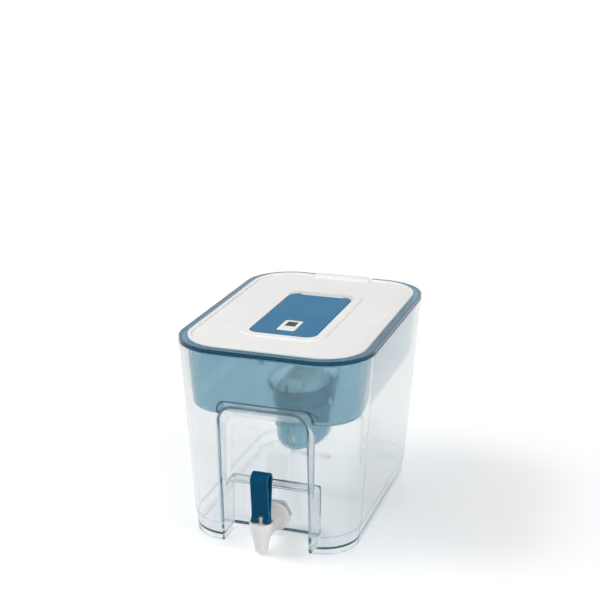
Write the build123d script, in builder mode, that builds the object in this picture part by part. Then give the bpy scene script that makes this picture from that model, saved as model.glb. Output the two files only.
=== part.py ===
"""Gravity water filter with a tap: a clear tank, a lift-out funnel that holds an oval
filter cartridge, a white lid with a lift-off refill flap and a change indicator, and a
lever tap that stands in a recess at the foot of the front wall.

Millimetres. +Z is up, +X runs along the front and -Y faces the user. The origin is the
middle of the footprint, on the table. The tap reaches past the front rim, so the tank's
own middle lies at TANK_Y.
"""
import os
from math import atan, cos, radians, sin
from build123d import *

# ---------------------------------------------------------------- driving dimensions
# Clear tank. DRAFT is how much narrower each wall stands at the table than at the rim.
TANK_H = 204.0
RIM_W, RIM_D, RIM_R = 200.0, 291.0, 52.0
DRAFT_X, DRAFT_Y, DRAFT_R = 12.6, 17.6, 12.1
TANK_WALL = 2.6
FLOOR_UNDER = 5.0
STEP_H = 19.4
STEP_INSET = 1.0
BEAD_H = 4.0
BEAD_PROUD = 0.9

# Recess in the front and back walls: the tap's niche and the rear grip
RECESS_FROM_CORNER = 3.5
RECESS_TOP = 150.0
RECESS_CORNER = 14.0
RECESS_DEEP_UPPER, RECESS_DEEP_LOWER = 28.5, 48.5
RECESS_STEP_Z = 59.0
RECESS_ROOF_Z = 131.0
RECESS_FILLET = 4.0
RECESS_BEND = 4.0

# Tap body and its fixing
TAP_Z = 21.0
NOZZLE_REACH = 43.0
NOZZLE_END = 3.7
NOZZLE_R = 6.5
NOZZLE_BORE = 4.3
SHANK_R = 8.0
SHANK_GAP = 0.15
SHANK_SPARE = 2.0
FLANGE_R = 15.6
FLANGE_T = 3.6
GASKET_T, GASKET_IN = 1.5, 0.6
NUT_ACROSS = 26.0
NUT_T, NUT_EDGE = 6.5, 0.8
BARREL_R = 9.4
BARREL_BORE = 4.2
BODY_TOP_R = 11.9
THROAT_R, THROAT_Z = 8.8, 17.0
SHOULDER_DROP = 4.0
CHAMBER_R = 6.6
SEAT_Z = 14.6
BONNET_FACE = 33.0
BONNET_PLATE, BONNET_PLUG, BONNET_BOSS = 1.2, 2.4, 3.0
BONNET_BOSS_R = 4.4
PLUG_WALL = 1.6
RING_WALL, RING_H = 1.3, 1.6

# Valve stem, seat cup, lever and pin
STEM_R, STEM_EDGE = 2.5, 0.6
RUN_GAP = 0.05
PIN_R = 1.5
PIN_ABOVE_FACE = 3.4
STEM_ABOVE_PIN = 3.0
CAM_BASE_R = 1.7
CAM_GAP = 0.2
CAM_STEPS = 8
LEVER_SWING = 65.0
LEVER_W = 18.3
LEVER_TOP = 86.5
LEVER_STRAP = 2.6
LOOP_D = 15.6
ARCH_SHARE = 0.58
LEVER_EDGE = 0.5
PIN_SHORT = 0.4
NECK_D = 6.4
NECK_RISE = 5.6
SLOT_W = 6.0
SLOT_RISE = 5.4
SEAL_R = 5.7
SEAL_H = 6.0
SEAL_GAP, SEAL_EDGE = 0.1, 1.2

# Funnel. Its rim, its wall under the rim and its wall at the floor stand in from the
# tank's rim.
FUNNEL_RIM_IN, FUNNEL_RIM_T = 0.5, 4.0
FUNNEL_TOP_IN = 8.5
FUNNEL_LOW_IN_X, FUNNEL_LOW_IN_Y = 13.5, 14.5
FUNNEL_WALL = 2.2
FUNNEL_DEPTH = 71.0
FUNNEL_EDGE_R = 6.0
NOTCH_SIDE = 0.9
NOTCH_CORNER = 11.0
NOTCH_GAP = 4.0
SEAT_GAP = 0.25
LID_LEDGE = 2.3
THUMB_HALF = 27.0
THUMB_DROP = 2.6
NUB_W, NUB_H = 3.0, 6.0
NUB_GAP = 0.8
NUB_Y = 39.0

# Cup under the funnel's floor, and the cartridge in it: half widths of ovals
BODY_A, BODY_B = 25.0, 46.0
FLANGE_A, FLANGE_B = 29.0, 50.0
CART_GAP = 0.7
CART_FLANGE_T, FLANGE_EDGE = 8.5, 1.2
CART_DEPTH = 57.0
CART_WALL = 1.4
CART_EDGE_R = 10.0
CART_SOCKET = 3.0
DOME_A, DOME_B, DOME_H = 24.5, 45.0, 21.5
DOME_WALL = 1.5
DOME_GROOVE = 3.0
FLANGE_RIM = 2.0
TAB_HALF, TAB_T, TAB_Y, TAB_H = 8.6, 2.0, 33.0, 17.0
TAB_GROOVE, TAB_ROUND = 1.1, 2.5
TAB_SLIT_W, TAB_SLIT_L, TAB_SLIT_PITCH = 1.4, 4.5, 6.0
VENT_R, VENT_PITCH, VENT_Y = 0.9, 6.0, 25.0
CUP_DEPTH = 68.0
CUP_FLARE = 6.0
CUP_DRAFT = 0.8
POST_R = 7.5
POST_BORE = 5.2
POST_H = 20.0
POST_TIP, POST_EDGE = 2.4, 1.5
POCKET_GAP = 1.0
OUTLET_W, OUTLET_H, OUTLET_PITCH = 1.9, 17.0, 5.4
CUP_OUTLET_RISE, CART_OUTLET_RISE = 17.8, 22.5
DRAIN_R, DRAIN_Y = 2.5, 14.0
SCREEN_T, SCREEN_GAP, SCREEN_HALF = 0.8, 0.2, 7.0

# Lid
LID_GAP, LID_IN = 0.5, 9.0
LID_T, LID_EDGE = 3.8, 0.8
LID_RIM_W, LID_RIM_H = 3.2, 1.5
SKIRT_H, SKIRT_T, SKIRT_GAP = 7.0, 1.8, 1.0
RIB_W, RIB_PROUD, RIB_PITCH = 1.2, 0.4, 32.0
WINDOW_W, WINDOW_H, WINDOW_BAR = 6.0, 3.2, 1.6
WINDOW_Y, WINDOW_PITCH, WINDOW_DROP = 5.0, 76.0, 0.4
FRAME_W = 8.5
FRAME_ROUND = 1.0
LIP_HALF, LIP_H, LIP_D = 30.0, 2.2, 7.0
WELL_FLOOR_T = 2.0
STIFFENER_T, STIFFENER_H = 1.5, 4.0
STIFFENER_Y = 62.0

# Refill flap
FLAP_W, FLAP_L, FLAP_R = 69.6, 143.0, 11.0
FLAP_T = 5.3
FLAP_PLATE = 2.0
FLAP_RIB = 1.8
FLAP_EDGE = 1.6
FLAP_GAP = 0.7
FLAP_DOWN = 0.2
FLAP_MID_Y = -13.0
FINGER_GAP = 8.0
SCOOP_HALF, SCOOP_D, SCOOP_DEEP = 25.0, 11.0, 1.5
PEG_R, PEG_H, PEG_PITCH = 1.6, 2.4, 69.0
PEG_X = 30.0
PEG_GAP, PEG_EDGE = 0.3, 0.5
FILL_HALF, FILL_R = 27.0, 6.0
FILL_FROM_FRONT, FILL_FROM_CASE = 6.5, 4.5
FILL_STEP_HALF, FILL_STEP_L = 12.0, 25.5

# Change indicator in the flap
LABEL_W, LABEL_L, LABEL_R = 19.0, 33.0, 2.5
LABEL_FIT = 0.1
LABEL_FROM_FRONT = 31.0
CASE_W, CASE_L, CASE_H = 34.0, 42.0, 6.9
CASE_R = 3.0
CASE_WALL = 1.4
BULGE_W, BULGE_L, BULGE_H = 20.0, 26.0, 4.2
COVER_T, COVER_EDGE = 1.2, 1.0
DISPLAY_W, DISPLAY_L, DISPLAY_T = 11.0, 15.0, 1.0
DISPLAY_EDGE, DISPLAY_DOWN = 1.0, 0.4
DISPLAY_Y = 5.5
BUTTON_R, BUTTON_Y = 3.2, -9.5
BUTTON_PROUD, BUTTON_GAP = 0.7, 0.1
BUTTON_TRAVEL = 0.6
BUTTON_EDGE = 0.4
COLLAR_T, COLLAR_W = 0.8, 0.8
BOARD_T = 1.0
BATTERY_R, BATTERY_T = 8.0, 2.6

# ---------------------------------------------------------------- places worked out
BASE_W, BASE_D, BASE_R = RIM_W - 2 * DRAFT_X, RIM_D - 2 * DRAFT_Y, RIM_R - DRAFT_R
RECESS_HALF = RIM_W / 2 - RIM_R - RECESS_FROM_CORNER
RECESS_UPPER_Y = RIM_D / 2 - RECESS_DEEP_UPPER
RECESS_LOWER_Y = RIM_D / 2 - RECESS_DEEP_LOWER
TAP_FRONT = RECESS_LOWER_Y + NOZZLE_REACH + BODY_TOP_R
TANK_Y = (TAP_FRONT - RIM_D / 2) / 2
FLOOR_TOP = FLOOR_UNDER + TANK_WALL
NOZZLE_Y = -(RECESS_LOWER_Y + NOZZLE_REACH)
PIN_Z = BONNET_FACE + PIN_ABOVE_FACE
PLUG_Z = BONNET_FACE - BONNET_PLATE - BONNET_PLUG

FUNNEL_SEAT = TANK_H + SEAT_GAP
FUNNEL_TOP = FUNNEL_SEAT + FUNNEL_RIM_T
FUNNEL_UNDER = FUNNEL_TOP - FUNNEL_DEPTH
FUNNEL_FLOOR = FUNNEL_UNDER + FUNNEL_WALL
LEDGE_Z = FUNNEL_TOP - LID_LEDGE

NOTCH_HALF = RECESS_HALF + TANK_WALL + NOTCH_SIDE

CUP_UNDER = FUNNEL_UNDER - CUP_DEPTH
CUP_FLOOR = CUP_UNDER + FUNNEL_WALL
CART_UNDER = CUP_FLOOR + SEAT_GAP
CART_TOP = CART_UNDER + CART_DEPTH
CART_SEAT = CART_TOP - CART_FLANGE_T

LID_W, LID_D, LID_R = RIM_W - 2 * LID_IN, RIM_D - 2 * LID_IN, RIM_R - LID_IN + LID_GAP
LID_UNDER = LEDGE_Z + SEAT_GAP
LID_TOP = LID_UNDER + LID_T
FIELD_Z = LID_TOP - LID_RIM_H
WELL_W, WELL_L = FLAP_W + 2 * FLAP_GAP, FLAP_L + FLAP_GAP + FINGER_GAP
WELL_R = FLAP_R + FLAP_GAP
WELL_MID_Y = FLAP_MID_Y + (FINGER_GAP - FLAP_GAP) / 2
FLAP_TOP = LID_TOP - FLAP_DOWN
FLAP_UNDER = FLAP_TOP - FLAP_T
WELL_FLOOR = FLAP_UNDER - SEAT_GAP
LABEL_MID_Y = FLAP_MID_Y - FLAP_L / 2 + LABEL_FROM_FRONT
FILL_FRONT_Y = FLAP_MID_Y - FLAP_L / 2 + FILL_FROM_FRONT
FILL_BACK_Y = LABEL_MID_Y + CASE_L / 2 + FILL_FROM_CASE

OUTSIDE = 20.0    # how far a cutting block runs past what it cuts

os.makedirs("parts", exist_ok=True)


# ---------------------------------------------------------------- planes and outlines
def level(z, x=0.0, y=0.0):
    """A level plane, centred on the tank."""
    return Plane(origin=(x, TANK_Y + y, z))


def facing(y, x=0.0, z=0.0):
    """A plane across the tank whose normal looks at the user; its own y is up."""
    return Plane(origin=(x, TANK_Y + y, z), x_dir=(1, 0, 0), z_dir=(0, -1, 0))


def side(x=0.0):
    """A plane along the tank; its own x runs to the back and its y is up."""
    return Plane(origin=(x, TANK_Y, 0), x_dir=(0, 1, 0), z_dir=(1, 0, 0))


def between(low, high, share):
    return low + (high - low) * share


def rounded(plane, width, depth, radius):
    """A rounded rectangle on a plane."""
    with BuildSketch(plane) as shape:
        RectangleRounded(width, depth, radius)
    return shape.sketch


def oval(plane, half_x, half_y):
    """An ellipse on a plane."""
    with BuildSketch(plane) as shape:
        Ellipse(half_x, half_y)
    return shape.sketch


def tank_size(z):
    """Width, depth and corner radius of the tank's envelope at one height."""
    share = z / TANK_H
    return (between(BASE_W, RIM_W, share), between(BASE_D, RIM_D, share), between(BASE_R, RIM_R, share))


def tank_section(z, inset):
    """The tank's outline at one height, moved inwards."""
    width, depth, radius = tank_size(z)
    return rounded(level(z), width - 2 * inset, depth - 2 * inset, radius - inset)


def funnel_size(z):
    """Width, depth and corner radius of the funnel's wall at one height."""
    share = (z - FUNNEL_UNDER) / (FUNNEL_SEAT - FUNNEL_UNDER)
    in_x = between(FUNNEL_LOW_IN_X, FUNNEL_TOP_IN, share)
    in_y = between(FUNNEL_LOW_IN_Y, FUNNEL_TOP_IN, share)
    return RIM_W - 2 * in_x, RIM_D - 2 * in_y, RIM_R - in_x


def funnel_section(z, inset):
    """The funnel wall's outline at one height, moved inwards."""
    width, depth, radius = funnel_size(z)
    return rounded(level(z), width - 2 * inset, depth - 2 * inset, radius - inset)


def arched_block(half, top, corner, reach, profile, bend):
    """A cutting block: an arched outline, seen from the front, crossed with a side
    profile whose bends are rounded where they lie inside the tank."""
    with BuildPart() as block:
        with BuildSketch(facing(0)) as arch:
            with Locations((0, top / 2)):
                Rectangle(2 * half, top + 2 * OUTSIDE)
            with Locations((0, top + OUTSIDE)):
                Rectangle(2 * half, 2 * OUTSIDE, mode=Mode.SUBTRACT)
            fillet(arch.vertices().group_by(Axis.Y)[-1], corner)
        extrude(amount=reach + OUTSIDE)
        with BuildSketch(side(-half - 1)) as outline:
            with BuildLine():
                Polyline(*profile, close=True)
            make_face()
            inner = outline.vertices().filter_by(lambda v: v.X > -reach + 1 and v.Y > 0)
            if bend:
                fillet(inner, bend)
        extrude(amount=2 * half + 2, mode=Mode.INTERSECT)
    return block.part


# The roof of the recess climbs from its back wall to the front wall
ROOF_SLOPE = (RECESS_TOP - RECESS_ROOF_Z) / (tank_size(RECESS_TOP)[1] / 2 - RECESS_UPPER_Y)
ROOF_COS = cos(atan(ROOF_SLOPE))
RECESS_REACH = RIM_D / 2 + OUTSIDE


def roof_z(y_front, clear):
    """Height of the recess roof a distance in front of the tank's middle, plus a
    clearance measured square to the roof."""
    return RECESS_ROOF_Z + (y_front - RECESS_UPPER_Y) * ROOF_SLOPE + clear / ROOF_COS


def recess_block(side_grow, grow):
    """The space of the front recess. Grown by a wall, it leaves the recess's own wall."""
    upper, lower = RECESS_UPPER_Y - grow, RECESS_LOWER_Y - grow
    step = RECESS_STEP_Z + grow
    profile = [
        (-RECESS_REACH, -OUTSIDE),
        (-RECESS_REACH, roof_z(RECESS_REACH, grow)),
        (-upper, roof_z(upper, grow)),
        (-upper, step),
        (-lower, step),
        (-lower, -OUTSIDE),
    ]
    top = RECESS_TOP + grow
    return arched_block(
        RECESS_HALF + side_grow, top, RECESS_CORNER + grow, RECESS_REACH, profile, RECESS_BEND
    )


def notch_block(grow):
    """The space under the funnel's raised edge, which clears the recess roof."""
    clear = TANK_WALL + NOTCH_GAP + grow
    low = FUNNEL_UNDER - OUTSIDE
    foot = RECESS_UPPER_Y + (low - RECESS_ROOF_Z - clear / ROOF_COS) / ROOF_SLOPE
    profile = [
        (-RECESS_REACH, low),
        (-RECESS_REACH, roof_z(RECESS_REACH, clear)),
        (-foot, low),
    ]
    top = roof_z(funnel_size(FUNNEL_UNDER)[1] / 2 + 2, clear)
    return arched_block(NOTCH_HALF + grow, top, NOTCH_CORNER + grow, RECESS_REACH, profile, 0)


def rear(block):
    """The same block at the back."""
    return mirror(block, about=facing(0))


def dome(z, half_x, half_y, height):
    """The upper half of a ball stretched to three half axes, on one level."""
    with BuildPart() as cap:
        add(Pos(0, TANK_Y, z) * scale(Solid.make_sphere(1.0), by=(half_x, half_y, height)))
        split(bisect_by=level(z), keep=Keep.TOP)
    return cap.part


def finish(part, name):
    """Label a finished piece and write it."""
    part.label = name
    export_step(part, "parts/" + name + ".step")


# ---------------------------------------------------------------- clear tank
# The water space follows the walls and their step near the foot, stands on the floor
# and leaves a wall round both recesses.
WALL_IN = BEAD_PROUD + TANK_WALL
FOOT_IN = WALL_IN + STEP_INSET
with BuildPart() as water_space:
    loft([tank_section(FLOOR_TOP, FOOT_IN), tank_section(STEP_H, FOOT_IN)], ruled=True)
    loft([tank_section(STEP_H, WALL_IN), tank_section(TANK_H + 1, WALL_IN)], ruled=True)
    add(recess_block(TANK_WALL, TANK_WALL), mode=Mode.SUBTRACT)
    add(rear(recess_block(TANK_WALL, TANK_WALL)), mode=Mode.SUBTRACT)

# Under the floor the tank is open, inside a skirt that it stands on.
with BuildPart() as under_floor:
    loft([tank_section(-1, FOOT_IN), tank_section(FLOOR_UNDER, FOOT_IN)], ruled=True)
    add(recess_block(TANK_WALL, 0), mode=Mode.SUBTRACT)
    add(rear(recess_block(TANK_WALL, 0)), mode=Mode.SUBTRACT)

with BuildPart() as tank_body:
    loft([tank_section(STEP_H, BEAD_PROUD), tank_section(TANK_H, BEAD_PROUD)], ruled=True)
    add(recess_block(0, 0), mode=Mode.SUBTRACT)
    add(rear(recess_block(0, 0)), mode=Mode.SUBTRACT)
    walls = tank_body.faces().sort_by(Axis.Y)
    mouths = (walls[0].edges() + walls[-1].edges()).filter_by(
        lambda e: abs(e.center().X) < RECESS_HALF + 1
        and STEP_H + 1 < e.center().Z < RECESS_TOP + 1
    )
    fillet(mouths, RECESS_FILLET)
    inset = BEAD_PROUD + STEP_INSET
    loft([tank_section(0, inset), tank_section(STEP_H, inset)], ruled=True)
    add(recess_block(0, 0), mode=Mode.SUBTRACT)
    add(rear(recess_block(0, 0)), mode=Mode.SUBTRACT)
    loft([tank_section(TANK_H - BEAD_H, 0), tank_section(TANK_H, 0)], ruled=True)
    add(water_space.part, mode=Mode.SUBTRACT)
    add(under_floor.part, mode=Mode.SUBTRACT)
    with BuildSketch(facing(-RECESS_LOWER_Y + 2 * TANK_WALL, z=TAP_Z)):
        Circle(SHANK_R + SHANK_GAP)
    extrude(amount=4 * TANK_WALL, mode=Mode.SUBTRACT)
finish(tank_body.part, "tank_body")


# ---------------------------------------------------------------- tap
def cylinder_along(plane, radius, length):
    """A disc on a plane carried along its normal."""
    with BuildSketch(plane) as disc:
        Circle(radius)
    return extrude(disc.sketch, amount=length, mode=Mode.PRIVATE)


FLANGE_BACK = RECESS_LOWER_Y + GASKET_T
WALL_INSIDE = RECESS_LOWER_Y - TANK_WALL
NUT_FACE = WALL_INSIDE - GASKET_T
SHANK_END = NUT_FACE - NUT_T - SHANK_SPARE

with BuildPart() as tap_body:
    with BuildSketch(facing(-SHANK_END, z=TAP_Z)):
        Circle(SHANK_R)
    extrude(amount=FLANGE_BACK - SHANK_END)
    with BuildSketch(facing(-FLANGE_BACK, z=TAP_Z)):
        Circle(FLANGE_R)
    extrude(amount=FLANGE_T)
    rim = tap_body.edges().filter_by(GeomType.CIRCLE).sort_by(Axis.Y)[0]
    chamfer(rim, FLANGE_T / 2, FLANGE_T)
    with BuildSketch(facing(-FLANGE_BACK, z=TAP_Z)):
        Circle(BARREL_R)
    extrude(amount=NOZZLE_REACH - GASKET_T)
    with BuildSketch(Plane(origin=(0, TANK_Y + NOZZLE_Y, 0), x_dir=(1, 0, 0), z_dir=(0, -1, 0))):
        with BuildLine():
            body_top = BONNET_FACE + RING_H
            foot = Line((0, NOZZLE_END), (NOZZLE_R, NOZZLE_END))
            spout = Line(foot @ 1, (THROAT_R, THROAT_Z))
            shoulder = Spline(
                spout @ 1,
                (BODY_TOP_R, body_top - SHOULDER_DROP),
                tangents=[spout % 1, (0, 1)],
            )
            ring = Line(shoulder @ 1, (BODY_TOP_R, body_top))
            Polyline(ring @ 1, (0, body_top), (0, NOZZLE_END))
        make_face()
    revolve(axis=Axis((0, TANK_Y + NOZZLE_Y, 0), (0, 0, 1)))
    add(cylinder_along(level(NOZZLE_END, y=NOZZLE_Y), NOZZLE_BORE, TAP_Z), mode=Mode.SUBTRACT)
    add(cylinder_along(level(SEAT_Z, y=NOZZLE_Y), CHAMBER_R, BONNET_FACE), mode=Mode.SUBTRACT)
    add(cylinder_along(level(PLUG_Z, y=NOZZLE_Y), CHAMBER_R + PLUG_WALL, BONNET_FACE), mode=Mode.SUBTRACT)
    add(
        cylinder_along(level(BONNET_FACE - BONNET_PLATE, y=NOZZLE_Y), BODY_TOP_R - RING_WALL, BONNET_FACE),
        mode=Mode.SUBTRACT,
    )
    add(
        cylinder_along(facing(-SHANK_END + 1, z=TAP_Z), BARREL_BORE, -NOZZLE_Y - SHANK_END + 1),
        mode=Mode.SUBTRACT,
    )
finish(tap_body.part, "tap_body")

with BuildPart() as tap_outer_gasket:
    with BuildSketch(facing(-RECESS_LOWER_Y, z=TAP_Z)):
        Circle(FLANGE_R - GASKET_IN)
        Circle(SHANK_R, mode=Mode.SUBTRACT)
    extrude(amount=GASKET_T)
finish(tap_outer_gasket.part, "tap_outer_gasket")

with BuildPart() as tap_inner_gasket:
    with BuildSketch(facing(-NUT_FACE, z=TAP_Z)):
        Circle(NUT_ACROSS / 2 - GASKET_IN)
        Circle(SHANK_R, mode=Mode.SUBTRACT)
    extrude(amount=GASKET_T)
finish(tap_inner_gasket.part, "tap_inner_gasket")

with BuildPart() as tap_lock_nut:
    with BuildSketch(facing(-NUT_FACE + NUT_T, z=TAP_Z)):
        RegularPolygon(NUT_ACROSS / 2, 6, major_radius=False)
        Circle(SHANK_R, mode=Mode.SUBTRACT)
    extrude(amount=NUT_T)
    chamfer(tap_lock_nut.edges().filter_by(GeomType.LINE).group_by(Axis.Y)[-1], NUT_EDGE)
finish(tap_lock_nut.part, "tap_lock_nut")

with BuildPart() as tap_bonnet:
    with BuildSketch(level(BONNET_FACE, y=NOZZLE_Y)):
        Circle(BODY_TOP_R - RING_WALL - RUN_GAP)
    extrude(amount=-BONNET_PLATE)
    with BuildSketch(level(BONNET_FACE - BONNET_PLATE, y=NOZZLE_Y)):
        Circle(CHAMBER_R + PLUG_WALL - RUN_GAP)
    extrude(amount=-BONNET_PLUG)
    with BuildSketch(level(PLUG_Z, y=NOZZLE_Y)):
        Circle(BONNET_BOSS_R)
    extrude(amount=-BONNET_BOSS)
    with BuildSketch(level(BONNET_FACE, y=NOZZLE_Y)):
        Circle(STEM_R + RUN_GAP)
    extrude(amount=-BONNET_FACE, mode=Mode.SUBTRACT)
finish(tap_bonnet.part, "tap_bonnet")

SEAL_UNDER = SEAT_Z + SEAL_GAP
STEM_END = SEAL_UNDER + SEAL_H / 3
with BuildPart() as valve_stem:
    with BuildSketch(level(STEM_END, y=NOZZLE_Y)):
        Circle(STEM_R)
    extrude(amount=PIN_Z + STEM_ABOVE_PIN - STEM_END)
    chamfer(valve_stem.edges().group_by(Axis.Z)[-1], STEM_EDGE)
    with BuildSketch(side(-BODY_TOP_R)):
        with Locations((NOZZLE_Y, PIN_Z)):
            Circle(PIN_R)
    extrude(amount=2 * BODY_TOP_R, mode=Mode.SUBTRACT)
finish(valve_stem.part, "valve_stem")

with BuildPart() as valve_seal:
    with BuildSketch(level(SEAL_UNDER, y=NOZZLE_Y)):
        Circle(SEAL_R)
    extrude(amount=SEAL_H)
    fillet(valve_seal.edges().group_by(Axis.Z)[-1], SEAL_EDGE)
    with BuildSketch(level(STEM_END, y=NOZZLE_Y)):
        Circle(STEM_R)
    extrude(amount=SEAL_H, mode=Mode.SUBTRACT)
finish(valve_seal.part, "valve_seal")

with BuildPart() as lever_pin:
    with BuildSketch(side(-LEVER_W / 2 + PIN_SHORT)):
        with Locations((NOZZLE_Y, PIN_Z)):
            Circle(PIN_R)
    extrude(amount=LEVER_W - 2 * PIN_SHORT)
finish(lever_pin.part, "lever_pin")


# The lever's foot is an involute of a circle round the pin, so that its lowest point
# drops by the same amount for each degree and lifts the pin and stem evenly.
FOOT_DROP = PIN_ABOVE_FACE - CAM_GAP


def cam_point(turn):
    """The foot's outline, as (to the back, up) from the pin, where it bears on the
    bonnet once the lever has turned by an angle in radians."""
    drop = FOOT_DROP + CAM_BASE_R * turn
    back = -drop * sin(turn) - CAM_BASE_R * cos(turn)
    return back, -drop * cos(turn) + CAM_BASE_R * sin(turn)


LOOP_TOP = LEVER_TOP - PIN_Z
ARCH_H = LOOP_D * ARCH_SHARE
with BuildPart() as tap_lever:
    pin_plane = Plane(origin=(-LEVER_W / 2, TANK_Y + NOZZLE_Y, PIN_Z), x_dir=(0, 1, 0), z_dir=(1, 0, 0))
    with BuildSketch(pin_plane):
        with BuildLine():
            sole = Line((NECK_D / 2, -FOOT_DROP), (-CAM_BASE_R, -FOOT_DROP))
            swing = radians(LEVER_SWING)
            cam = Spline(*[cam_point(swing * step / CAM_STEPS) for step in range(CAM_STEPS + 1)])
            Line(cam @ 1, (-NECK_D / 2, NECK_RISE))
            Line((-NECK_D / 2, NECK_RISE), (-LOOP_D / 2, LOOP_TOP - ARCH_H))
            ThreePointArc((-LOOP_D / 2, LOOP_TOP - ARCH_H), (0, LOOP_TOP), (LOOP_D / 2, LOOP_TOP - ARCH_H))
            Line((LOOP_D / 2, LOOP_TOP - ARCH_H), (NECK_D / 2, NECK_RISE))
            Line((NECK_D / 2, NECK_RISE), sole @ 0)
        make_face()
        with BuildLine():
            wide, narrow = LOOP_D / 2 - LEVER_STRAP, NECK_D / 2 - LEVER_STRAP / 2
            hole_low, hole_high = 2 * NECK_RISE, LOOP_TOP - ARCH_H
            front = Line((-narrow, hole_low), (-wide, hole_high))
            arch = ThreePointArc(front @ 1, (0, LOOP_TOP - LEVER_STRAP), (wide, hole_high))
            back = Line(arch @ 1, (narrow, hole_low))
            ThreePointArc(back @ 1, (0, hole_low - narrow), front @ 0)
        make_face(mode=Mode.SUBTRACT)
    extrude(amount=LEVER_W)
    outer_rims = tap_lever.edges().filter_by(
        lambda e: abs(abs(e.center().X) - LEVER_W / 2) < 0.1 and e.center().Z > PIN_Z + NECK_RISE
    )
    chamfer(outer_rims, LEVER_EDGE)
    with BuildSketch(facing(NOZZLE_Y + LOOP_D)):
        with Locations((0, PIN_Z + (SLOT_RISE - FOOT_DROP) / 2)):
            Rectangle(SLOT_W, FOOT_DROP + SLOT_RISE)
    extrude(amount=2 * LOOP_D, mode=Mode.SUBTRACT)
    with BuildSketch(side(-LEVER_W)):
        with Locations((NOZZLE_Y, PIN_Z)):
            Circle(PIN_R + RUN_GAP)
    extrude(amount=2 * LEVER_W, mode=Mode.SUBTRACT)
finish(tap_lever.part, "tap_lever")

# ---------------------------------------------------------------- funnel
# The basin follows its walls and stands clear of the recess roofs. The cup hangs from
# its floor: a flare, a pocket for the cartridge's flange, a ledge and a deep oval.
CUP_LEDGE = CART_SEAT - SEAT_GAP
POCKET_A, POCKET_B = FLANGE_A + CART_GAP, FLANGE_B + CART_GAP
DEEP_A, DEEP_B = BODY_A + CART_GAP, BODY_B + CART_GAP


def cup_solid(grow, bottom, lip):
    """The cup, grown outwards by a wall, from its bottom up to a level."""
    with BuildPart() as cup:
        low = CUP_LEDGE - grow
        loft(
            [
                oval(level(bottom), DEEP_A - CUP_DRAFT + grow, DEEP_B - CUP_DRAFT + grow),
                oval(level(low), DEEP_A + grow, DEEP_B + grow),
            ],
            ruled=True,
        )
        fillet(cup.edges().group_by(Axis.Z)[0], CART_EDGE_R + grow)
        extrude(oval(level(low), POCKET_A + grow, POCKET_B + grow), amount=CART_FLANGE_T + grow)
        loft(
            [
                oval(level(CUP_LEDGE + CART_FLANGE_T), POCKET_A + grow, POCKET_B + grow),
                oval(level(lip), POCKET_A + CUP_FLARE + grow, POCKET_B + CUP_FLARE + grow),
            ],
            ruled=True,
        )
    return cup.part


def cut_outlets(end, z):
    """Two upright slots through the wall at each end of an oval."""
    for start in (end + OUTSIDE / 2, OUTSIDE / 2 - end):
        with BuildSketch(facing(start, z=z)) as slots:
            with GridLocations(OUTLET_PITCH, 1, 2, 1):
                SlotOverall(OUTLET_H, OUTLET_W, rotation=90)
        extrude(slots.sketch, amount=OUTSIDE, mode=Mode.SUBTRACT)


with BuildPart() as basin_space:
    basin_low, basin_high = (funnel_section(z, FUNNEL_WALL) for z in (FUNNEL_FLOOR, FUNNEL_SEAT))
    loft([basin_low, basin_high], ruled=True)
    fillet(basin_space.edges().group_by(Axis.Z)[0], FUNNEL_EDGE_R - FUNNEL_WALL)
    add(notch_block(FUNNEL_WALL), mode=Mode.SUBTRACT)
    add(rear(notch_block(FUNNEL_WALL)), mode=Mode.SUBTRACT)
    extrude(funnel_section(FUNNEL_SEAT, FUNNEL_WALL), amount=FUNNEL_RIM_T + 1)

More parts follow.
